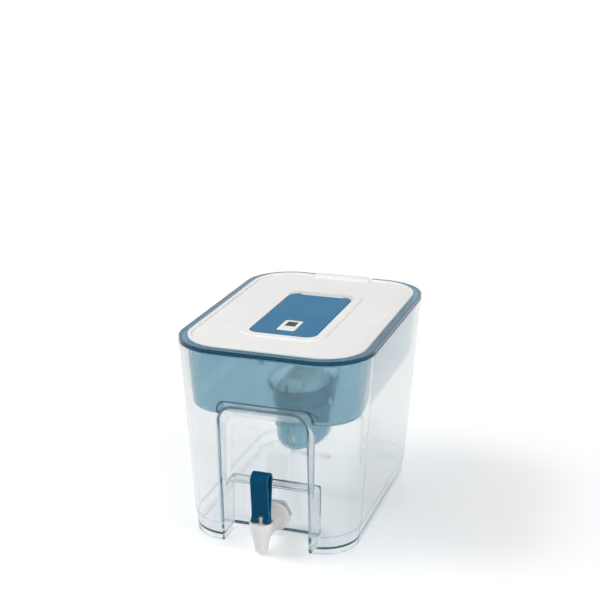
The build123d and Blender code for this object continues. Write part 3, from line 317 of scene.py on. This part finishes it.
FLAP_BLUE = rgb(0, 108, 152)
LABEL_FOOT_Z = 204.1    # the indicator's case is flap blue under its pale top
FINISHES = {
    "clear_plastic": clear_moulding(
        # the tank's edge colour is painted shade on its marked faces: the mouth fillet, the rounded edges
        # and the foot lines
        "clear_plastic", skin=(0.95, 0.952, 0.953, 1), edge=(0.46, 0.62, 0.68, 1),
        inside=(0.28, 0.47, 0.55, 1), density=18.0, shadow=(0.985, 0.985, 0.985, 1), roughness=0.08),
    "funnel_blue": clear_moulding(
        # the funnel's edge colour is painted shade, darkening its rim
        "funnel_blue", skin=(0.85, 0.90, 0.926, 1), edge=(0.14, 0.47, 0.60, 1),
        inside=(0.0, 0.513, 0.661, 1), density=210.0, shadow=(0.84, 0.90, 0.92, 1), roughness=0.08,
        shine=(0.3, 0.75, 0.9, 1)),
    # the lighter edge colours of these whites are painted highlights along their rounded edges
    "white_plastic": moulded_plastic(
        "white_plastic", rgb(239, 238, 236), 0.34, 0.35, gloss=0.3, edge=rgb(253, 252, 251)),
    "tap_white": moulded_plastic(
        "tap_white", rgb(218, 217, 215), 0.36, 0.35, gloss=0.35, edge=rgb(238, 237, 235)),
    # the cap's dark edge colour is painted shade in its vents, slits and the gap round its tab
    "cap_white": moulded_plastic(
        "cap_white", rgb(246, 245, 243), 0.42, 0.4, gloss=0.3, edge=rgb(112, 112, 113)),
    "cartridge_white": moulded_plastic("cartridge_white", rgb(249, 248, 246), 0.42, 0.4),
    # the lighter edge colours of the blue parts are painted highlights along their rounded edges
    "lever_blue": moulded_plastic(
        "lever_blue", rgb(0, 66, 98), 0.36, 0.4, gloss=0.06, edge=rgb(36, 108, 146)),
    "flap_blue": moulded_plastic("flap_blue", FLAP_BLUE, 0.34, 0.4, gloss=0.1, edge=rgb(30, 122, 166)),
    "label_white": moulded_plastic(
        "label_white", rgb(240, 240, 236), 0.5, 0.2, below=(LABEL_FOOT_Z, FLAP_BLUE)),
    "display_dark": moulded_plastic("display_dark", rgb(62, 66, 60), 0.45, 0.1, gloss=0.1),
    "grey_rubber": rubber(),
    "pin_steel": steel("pin_steel", rgb(205, 206, 208), 0.22),
    "battery_steel": steel("battery_steel", rgb(200, 200, 202), 0.25),
    "media": filter_grains(),
    "screen_mesh": woven_mesh(),
    "board_green": circuit_board(),
}

WEARS = {
    "clear_plastic": ["tank_body"],
    "tap_white": ["tap_body", "tap_lock_nut", "tap_bonnet", "valve_stem"],
    "white_plastic": ["lid_body"],
    "cartridge_white": ["cartridge_shell"],
    "cap_white": ["cartridge_cap"],
    "grey_rubber": ["tap_outer_gasket", "tap_inner_gasket", "valve_seal"],
    "pin_steel": ["lever_pin"],
    "lever_blue": ["tap_lever"],
    "funnel_blue": ["funnel_body"],
    "flap_blue": ["refill_flap", "indicator_cover"],
    "media": ["filter_media"],
    "screen_mesh": ["upper_screen", "outlet_screens"],
    "label_white": ["indicator_case", "indicator_button"],
    "display_dark": ["indicator_display"],
    "board_green": ["indicator_board"],
    "battery_steel": ["indicator_battery"],
}


def give(piece, finish):
    """Covers a piece in one finish."""
    piece.data.materials.clear()
    piece.data.materials.append(FINISHES[finish])
    for polygon in piece.data.polygons:
        polygon.material_index = 0


for finish_name, node_names in WEARS.items():
    for node_name in node_names:
        give(nodes[node_name], finish_name)


# ------------------------------------------------------------------ modelling
TANK_Y = 3.2    # the middle of the tank's footprint, in millimetres
HAIR = 0.01    # places nearer than this count as one
SHARP = radians(35)
ROUNDED = 1    # the material slot that tells rounded edges from the faces they join


def start_piece(name):
    """An empty mesh at the origin, open in edit mode."""
    bpy.ops.object.select_all(action="DESELECT")
    piece = bpy.data.objects.new(name, bpy.data.meshes.new(name))
    bpy.context.scene.collection.objects.link(piece)
    bpy.context.view_layer.objects.active = piece
    piece.select_set(True)
    bpy.ops.object.mode_set(mode="EDIT")
    return piece


def close_piece():
    """Turns the faces outwards and leaves edit mode."""
    bpy.ops.mesh.select_all(action="SELECT")
    bpy.ops.mesh.normals_make_consistent(inside=False)
    bpy.ops.object.mode_set(mode="OBJECT")


def open_piece(piece):
    bpy.ops.object.select_all(action="DESELECT")
    bpy.context.view_layer.objects.active = piece
    piece.select_set(True)
    bpy.ops.object.mode_set(mode="EDIT")


def pick(piece, kind, wanted):
    """Selects only the vertices (verts), edges or faces that wanted holds for."""
    modes = {"verts": (True, False, False), "edges": (False, True, False), "faces": (False, False, True)}
    bpy.context.tool_settings.mesh_select_mode = modes[kind]
    bpy.ops.mesh.select_all(action="DESELECT")
    shape = bmesh.from_edit_mesh(piece.data)
    for part in getattr(shape, kind):
        if wanted(part):
            part.select_set(True)
    shape.select_flush_mode()
    bmesh.update_edit_mesh(piece.data)


def near(first, second, within=HAIR * MM):
    return abs(first - second) < within


def at(x, y, z):
    """A place given in millimetres from the middle of the tank's footprint."""
    return Vector((x, TANK_Y + y, z)) * MM


def flat_plate(width, height, middle, upright=False):
    """A plate added in edit mode. It lies level or stands facing the front."""
    turn = radians(90) if upright else 0
    bpy.ops.mesh.primitive_plane_add(size=1.0, location=middle, rotation=(turn, 0, 0))
    grow = (width * MM, 1, height * MM) if upright else (width * MM, height * MM, 1)
    bpy.ops.transform.resize(value=grow, center_override=middle)


def cut(piece, cutters, how="DIFFERENCE"):
    """Takes the cutters out of a piece, or joins them to it, and keeps the cutters."""
    bpy.ops.object.select_all(action="DESELECT")
    bpy.context.view_layer.objects.active = piece
    piece.select_set(True)
    for cutter in cutters:
        tool = piece.modifiers.new("cut", "BOOLEAN")
        tool.operation, tool.solver, tool.object = how, "EXACT", cutter
        bpy.ops.object.modifier_apply(modifier=tool.name)


def mark_painted_light(piece, wanted):
    """Marks the faces that wanted holds for, so that a finish paints a highlight or shade on them."""
    shape = bmesh.from_edit_mesh(piece.data)
    mark = shape.faces.layers.float.get(PAINTED_LIGHT_MARK) or shape.faces.layers.float.new(PAINTED_LIGHT_MARK)
    for face in shape.faces:
        if wanted(face):
            face[mark] = 1.0
    bmesh.update_edit_mesh(piece.data)


def soften(piece, width, segments, wanted=None, marked=None):
    """Rounds the sharp edges, or those of them that are wanted, and shades the rest smooth.
    The rounded faces are marked for a painted highlight or painted shade, unless marked says which faces
    are."""
    piece.data.materials.clear()
    for _ in range(ROUNDED + 1):
        piece.data.materials.append(None)
    open_piece(piece)
    pick(piece, "edges", lambda e: e.calc_face_angle(0) > SHARP and (wanted is None or wanted(e)))
    bpy.ops.mesh.bevel(
        offset=width * MM, segments=segments, affect="EDGES", clamp_overlap=True, material=ROUNDED)
    mark_painted_light(piece, marked or (lambda f: f.material_index == ROUNDED))
    bpy.ops.object.mode_set(mode="OBJECT")
    bpy.ops.object.shade_smooth_by_angle(angle=SHARP)
    weighted = piece.modifiers.new("weighted", "WEIGHTED_NORMAL")
    weighted.keep_sharp = True
    bpy.ops.object.modifier_apply(modifier=weighted.name)


def stand_for(piece, node, body, slot, finish=None):
    """Puts a piece in the place of a CAD node, in a finish of its own or that of its slot."""
    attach(piece, body)
    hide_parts(node)
    give(piece, finish or slot)


def dress(node, body, slot, width, finish=None, flat=1.5, marked=None):
    """A copy of a CAD node with its sharp edges rounded as a mould leaves them.
    Faces that lie within flat degrees of each other are joined first."""
    piece = bpy.data.objects.new(node + "_moulded", nodes[node].data.copy())
    bpy.context.scene.collection.objects.link(piece)
    open_piece(piece)
    bpy.ops.mesh.select_all(action="SELECT")
    bpy.ops.mesh.remove_doubles(threshold=0.002 * MM)
    bpy.ops.mesh.customdata_custom_splitnormals_clear()
    if flat:
        bpy.ops.mesh.dissolve_limited(angle_limit=radians(flat))
    bpy.ops.object.mode_set(mode="OBJECT")
    soften(piece, width, 2, marked=marked)
    stand_for(piece, node, body, slot, finish)


# ------------------------------------------------------------------ clear tank, in millimetres
TANK_H, TANK_WALL = 204.0, 2.6
BASE_SIZE, RIM_SIZE = (174.8, 255.8, 39.9), (200.0, 291.0, 52.0)
FLOOR_UNDER, STEP_H, STEP_INSET = 5.0, 19.4, 1.0
BEAD_H, BEAD_PROUD = 4.0, 0.9
TANK_EDGE = 0.4
RECESS_HALF, RECESS_TOP, RECESS_CORNER = 44.5, 150.0, 14.0
RECESS_UPPER_Y, RECESS_LOWER_Y = 117.0, 97.0
RECESS_STEP_Z, RECESS_ROOF_Z = 59.0, 131.0
MOUTH_FILLET, BEND = 2.9, 4.0
CORNER_STEPS = 24
FAR, PAST = 20.0, 1.0    # how far blocks reach past what they cut or join
TAP_Z, SHANK_HOLE = 21.0, 8.15
SHADE_LINE_WIDTH = 1.0    # of the strips painted dark as shade, that show the foot and its step
ROUND_STEPS, HOLE_SIDES = 8, 64
WALL_LEAN, FACING, OUTWARD = 0.3, 0.3, 0.02    # limits for parts of a face's normal


def wall_size(z):
    """Width, depth and corner radius of the tank at a height."""
    return [low + (high - low) * z / TANK_H for low, high in zip(BASE_SIZE, RIM_SIZE)]


ROOF_SLOPE = (RECESS_TOP - RECESS_ROOF_Z) / (wall_size(RECESS_TOP)[1] / 2 - RECESS_UPPER_Y)
ROOF_LENGTH = (1 + ROOF_SLOPE ** 2) ** 0.5


def drafted_block(name, low, high, inset):
    """A block with the tank's rounded outline at two heights, bridged."""
    piece = start_piece(name)
    bpy.context.tool_settings.mesh_select_mode = (True, False, False)
    for z in (low, high):
        width, depth, radius = wall_size(z)
        flat_plate(width - 2 * inset, depth - 2 * inset, at(0, 0, z))
        bpy.ops.mesh.bevel(offset=(radius - inset) * MM, segments=CORNER_STEPS, affect="VERTICES")
    bpy.ops.mesh.select_all(action="SELECT")
    bpy.ops.mesh.delete(type="ONLY_FACE")
    bpy.ops.mesh.select_all(action="SELECT")
    bpy.ops.mesh.bridge_edge_loops()
    for z in (low, high):
        pick(piece, "verts", lambda v: near(v.co.z, z * MM))
        bpy.ops.mesh.edge_face_add()
    close_piece()
    return piece


def recess_blocks(name, side_grow, grow):
    """The spaces of the front niche and the rear grip.
    Grown by a wall, they leave the recesses' own walls."""
    half, step = RECESS_HALF + side_grow, RECESS_STEP_Z + grow
    upper, lower = RECESS_UPPER_Y - grow, RECESS_LOWER_Y - grow
    reach = RIM_SIZE[1] / 2 + FAR
    piece = start_piece(name)
    bpy.context.tool_settings.mesh_select_mode = (True, False, False)
    for front in (reach, upper):
        top = RECESS_ROOF_Z + (front - RECESS_UPPER_Y) * ROOF_SLOPE + grow * ROOF_LENGTH
        middle, y = at(0, -front, (top - FAR) / 2), at(0, -front, 0).y
        flat_plate(2 * half, top + FAR, middle, upright=True)
        pick(piece, "verts", lambda v: near(v.co.z, top * MM) and near(v.co.y, y))
        bpy.ops.mesh.bevel(
            offset=(RECESS_CORNER + grow) * MM, segments=CORNER_STEPS // 2, affect="VERTICES")
    bpy.ops.mesh.select_all(action="SELECT")
    bpy.ops.mesh.delete(type="ONLY_FACE")
    bpy.ops.mesh.select_all(action="SELECT")
    bpy.ops.mesh.bridge_edge_loops()
    for front in (reach, upper):
        pick(piece, "verts", lambda v: near(v.co.y, at(0, -front, 0).y))
        bpy.ops.mesh.edge_face_add()
    bpy.ops.mesh.select_all(action="SELECT")
    bpy.ops.mesh.normals_make_consistent(inside=False)
    bpy.ops.mesh.bisect(plane_co=at(0, 0, step), plane_no=(0, 0, 1))
    back, deep, ledge = at(0, -upper, 0).y, at(0, -lower, 0).y, step * MM
    pick(piece, "faces", lambda f: all(near(v.co.y, back) and v.co.z < ledge + HAIR * MM for v in f.verts))
    bpy.ops.mesh.extrude_region_move(TRANSFORM_OT_translate={"value": (0, (upper - lower) * MM, 0)})

    def on_bend(place):
        return (near(place.y, back) and place.z > ledge - HAIR * MM) or (
            near(place.y, deep) and near(place.z, ledge))

    pick(piece, "edges", lambda e: all(on_bend(v.co) for v in e.verts))
    bpy.ops.mesh.bevel(offset=BEND * MM, segments=ROUND_STEPS, affect="EDGES")
    bpy.ops.mesh.select_all(action="SELECT")
    bpy.ops.mesh.duplicate()
    bpy.ops.transform.rotate(value=pi, orient_axis="Z", center_override=at(0, 0, 0))
    close_piece()
    return piece


def on_mouth(edge):
    """Whether an edge is where a recess opens in the front or back wall."""
    if not all(abs(v.co.x) < (RECESS_HALF + PAST) * MM for v in edge.verts):
        return False
    middle = (edge.verts[0].co + edge.verts[1].co) / 2 / MM
    if not STEP_H + PAST < middle.z < RECESS_TOP + PAST:
        return False

    def on_wall(place):
        return near(abs(place.y - TANK_Y), wall_size(place.z)[1] / 2 - BEAD_PROUD, 2 * HAIR)

    return all(on_wall(v.co / MM) for v in edge.verts)


def is_wall(face):
    return abs(face.normal.z) < WALL_LEAN


def in_sight(edge):
    """The edges above the floor, and the rim that the foot stands on."""
    if all(v.co.z > (FLOOR_UNDER + PAST) * MM for v in edge.verts):
        return True
    outwards = edge.verts[0].co - at(0, 0, 0)

    def outer(face):
        same_side = face.normal.x * outwards.x > 0
        return is_wall(face) and same_side and face.normal.dot(outwards) > OUTWARD

    return all(near(v.co.z, 0) for v in edge.verts) and any(outer(f) for f in edge.link_faces)


def paint_shade_lines(walls):
    """Marks a narrow strip round the outside above the foot's step and above the floor, for a dark line of
    painted shade in place of the one refraction draws there.
    """
    open_piece(walls)
    for z in (SHADE_LINE_WIDTH, STEP_H + SHADE_LINE_WIDTH):
        bpy.ops.mesh.select_all(action="SELECT")
        bpy.ops.mesh.bisect(plane_co=at(0, 0, z), plane_no=(0, 0, 1))

    def in_strip(face):
        place = face.calc_center_median() / MM
        outwards = Vector((place.x, place.y - TANK_Y, 0)).normalized()
        if abs(place.x) < RECESS_HALF or not is_wall(face) or face.normal.dot(outwards) < FACING:
            return False
        return place.z < SHADE_LINE_WIDTH or STEP_H - HAIR < place.z < STEP_H + SHADE_LINE_WIDTH

    mark_painted_light(walls, in_strip)
    bpy.ops.object.mode_set(mode="OBJECT")


def clear_tank():
    """The tank as one clear moulding: solid blocks first, then the water's space and the hole taken out."""
    walls = drafted_block("clear_tank", STEP_H, TANK_H - PAST, BEAD_PROUD)
    recesses = recess_blocks("recesses", 0, 0)
    cut(walls, [recesses])
    open_piece(walls)
    pick(walls, "edges", on_mouth)
    bpy.ops.mesh.bevel(offset=MOUTH_FILLET * MM, segments=ROUND_STEPS, affect="EDGES")
    # the front mouth fillet is marked for painted shade, a darker tint in place of the band that refraction
    # shows
    mark_painted_light(walls, lambda f: f.select and f.calc_center_median().y < 0)
    bpy.ops.object.mode_set(mode="OBJECT")
    foot = drafted_block("foot", 0, STEP_H, BEAD_PROUD + STEP_INSET)
    cut(foot, [recesses])
    bead = drafted_block("bead", TANK_H - BEAD_H, TANK_H, 0)
    cut(walls, [foot, bead], "UNION")
    inside = BEAD_PROUD + TANK_WALL
    water = drafted_block("water", STEP_H, TANK_H + PAST, inside)
    low_water = drafted_block("low_water", FLOOR_UNDER + TANK_WALL, STEP_H, inside + STEP_INSET)
    cut(water, [low_water], "UNION")
    grown = recess_blocks("grown_recesses", TANK_WALL, TANK_WALL)
    cut(water, [grown])
    under = drafted_block("under_floor", -PAST, FLOOR_UNDER, inside + STEP_INSET)
    open_recesses = recess_blocks("open_recesses", TANK_WALL, 0)
    cut(under, [open_recesses])
    bpy.ops.mesh.primitive_cylinder_add(
        vertices=HOLE_SIDES, radius=SHANK_HOLE * MM, depth=8 * TANK_WALL * MM,
        location=at(0, -RECESS_LOWER_Y, TAP_Z), rotation=(radians(90), 0, 0))
    hole = bpy.context.object
    cut(walls, [water, under, hole])
    paint_shade_lines(walls)
    # the rounded edges in sight are marked too, so they are tinted darker as painted shade
    soften(walls, TANK_EDGE, 3, wanted=in_sight)
    for used in (recesses, foot, bead, water, low_water, grown, under, open_recesses, hole):
        bpy.data.objects.remove(used)
    return walls


stand_for(clear_tank(), "tank_body", "tank", "clear_plastic")


# ------------------------------------------------------------------ moulded parts with rounded edges
# the cartridge cap's tab, slits and vents, measured from the middle of the tank
TAB_HALF, TAB_GROOVE, TAB_BACK = 8.6, 1.1, -32.0
TAB_SLITS, SLIT_REACH = [(-3.0, -37.25), (3.0, -37.25)], (0.8, 2.4)
CAP_VENTS, VENT_REACH = [(0, 0), (-3.0, -25.0), (3.0, -25.0), (-3.0, 25.0), (3.0, 25.0)], 1.05
CAP_FLOOR, CAP_SPARE = 124.0, 0.05


def in_shaded_cap_gaps(face):
    """The walls of the cap's vents and slits, and of the gap round its tab, painted dark as shade."""
    place = face.calc_center_median() / MM
    x, y = place.x, place.y - TANK_Y
    if place.z < CAP_FLOOR:
        return False
    if any(hypot(x - vent_x, y - vent_y) < VENT_REACH for vent_x, vent_y in CAP_VENTS):
        return True
    for slit_x, slit_y in TAB_SLITS:
        if abs(x - slit_x) < SLIT_REACH[0] and abs(y - slit_y) < SLIT_REACH[1]:
            return True
    outer = TAB_HALF + TAB_GROOVE + CAP_SPARE
    beside = TAB_HALF + CAP_SPARE < abs(x) < outer and y < TAB_BACK + TAB_GROOVE
    behind = abs(x) < outer and CAP_SPARE < y - TAB_BACK < TAB_GROOVE + CAP_SPARE
    return beside or behind


# the funnel's rim faces, which its finish tints darker as painted shade
def on_shaded_funnel_rim(face):
    return face.calc_center_median().z > TANK_H * MM


dress("lid_body", "lid", "white_plastic", width=0.4)
dress("refill_flap", "flap", "flap_blue", width=0.5)
dress("indicator_case", "flap", "label_white", width=0.2)
dress("indicator_cover", "flap", "flap_blue", width=0.2)
dress("tap_body", "tank", "white_plastic", width=0.25, finish="tap_white")
dress("tap_bonnet", "tank", "white_plastic", width=0.25, finish="tap_white")
dress("tap_lock_nut", "tank", "white_plastic", width=0.3, finish="tap_white")
dress("cartridge_cap", "cartridge", "cartridge_white", width=0.2, finish="cap_white", marked=in_shaded_cap_gaps)
dress("tap_lever", "lever", "lever_blue", width=0.25, flat=0)
dress("funnel_body", "funnel", "funnel_blue", width=0.3, marked=on_shaded_funnel_rim)


# ------------------------------------------------------------------ floor, light and camera, in metres
FLOOR_SIZE, FLOOR_Z = 40.0, -0.0004
FLOOR_FILL = 0.24    # keeps the floor near white under the tank, with its shadow
FADE_FROM, FADE_TO = 0.2, 0.42    # where the floor turns to plain white, from its middle
BACKGROUND_RAYS = ("Is Camera Ray", "Is Glossy Ray", "Is Transmission Ray")


def studio_floor():
    bpy.ops.mesh.primitive_plane_add(size=FLOOR_SIZE, location=(0, 0, FLOOR_Z))
    floor = bpy.context.object
    floor.name = "studio_floor"
    finish = Finish("studio_floor")
    seen = finish.rays(*BACKGROUND_RAYS)
    away = finish.node("ShaderNodeVectorMath", {"operation": "LENGTH"}, finish.place(), output="Value")
    paper = finish.surface(
        Base_Color=(0.9, 0.9, 0.9, 1),
        Roughness=finish.noise(30.0).ramp(0.3, 0.7, 0.1, 0.15),
        IOR=1.3,
    )
    white, fill = [
        finish.node("ShaderNodeEmission", None, Color=(1, 1, 1, 1), Strength=strength)
        for strength in (1.0, FLOOR_FILL)
    ]
    lit = finish.node("ShaderNodeAddShader", None, paper, fill)
    close = finish.node("ShaderNodeMixShader", None, seen, paper, lit)
    faded = finish.node("ShaderNodeMixShader", None, seen * away.ramp(FADE_FROM, FADE_TO), close, white)
    floor.data.materials.append(finish.finish(faded))


def light_room(strength):
    """A white background over soft light of a strength from all round."""
    world = bpy.data.worlds.new("studio_room")
    bpy.context.scene.world = world
    world.use_nodes = True
    tree = world.node_tree
    tree.nodes.clear()
    path = tree.nodes.new("ShaderNodeLightPath")
    mix, out = tree.nodes.new("ShaderNodeMixShader"), tree.nodes.new("ShaderNodeOutputWorld")
    for place, level in ((1, strength), (2, 1.0)):
        shade = tree.nodes.new("ShaderNodeBackground")
        shade.inputs["Color"].default_value, shade.inputs["Strength"].default_value = (1, 1, 1, 1), level
        tree.links.new(shade.outputs[0], mix.inputs[place])
    seen = path.outputs[BACKGROUND_RAYS[0]]
    for kind in BACKGROUND_RAYS[1:]:
        either = tree.nodes.new("ShaderNodeMath")
        either.operation = "MAXIMUM"
        tree.links.new(seen, either.inputs[0])
        tree.links.new(path.outputs[kind], either.inputs[1])
        seen = either.outputs[0]
    tree.links.new(seen, mix.inputs[0])
    tree.links.new(mix.outputs[0], out.inputs["Surface"])


def softbox(name, place, target, width, height, power):
    lamp = bpy.data.lights.new(name, "AREA")
    lamp.shape, lamp.size, lamp.size_y, lamp.energy = "RECTANGLE", width, height, power
    box = bpy.data.objects.new(name, lamp)
    bpy.context.scene.collection.objects.link(box)
    box.location = place
    box.rotation_euler = (Vector(target) - Vector(place)).to_track_quat("-Z", "Y").to_euler()
    box.visible_camera = False


studio_floor()
light_room(strength=0.4)
softbox("key_softbox", (-1.8, -0.5, 1.9), target=(0, 0, 0.1), width=1.2, height=1.2, power=34.0)
softbox("front_softbox", (0.2, -2.8, 1.0), target=(0, 0, 0.15), width=1.6, height=1.2, power=19.0)
softbox("side_softbox", (2.2, -0.9, 1.1), target=(0, 0, 0.12), width=0.7, height=1.8, power=26.0)


def place_camera(place, turn, tilt, roll, lens):
    """turn is how far it stands to the right of the front, and tilt how far it looks down."""
    turn, tilt, roll = radians(turn), radians(tilt), radians(roll)
    ahead = Vector((-sin(turn) * cos(tilt), cos(turn) * cos(tilt), -sin(tilt)))
    level = Vector((cos(turn), sin(turn), 0))
    upright = level.cross(ahead)
    across = level * cos(roll) + upright * sin(roll)
    above = upright * cos(roll) - level * sin(roll)
    camera = bpy.data.objects.new("camera", bpy.data.cameras.new("camera"))
    bpy.context.scene.collection.objects.link(camera)
    camera.data.lens, camera.data.sensor_width = lens, 36.0
    camera.data.clip_end = 100.0
    camera.matrix_world = Matrix.Translation(place) @ Matrix((across, above, -ahead)).transposed().to_4x4()
    bpy.context.scene.camera = camera


place_camera((0.3908, -1.2219, 0.6118), turn=17.99, tilt=16.9, roll=0.36, lens=77.63)

WALL_CROSSINGS = 48    # light turns many times inside a clear wall before it leaves
view = bpy.context.scene.view_settings
view.view_transform = "Standard"
cycles = bpy.context.scene.cycles
cycles.max_bounces = cycles.transmission_bounces = cycles.glossy_bounces = WALL_CROSSINGS
cycles.transparent_max_bounces = WALL_CROSSINGS
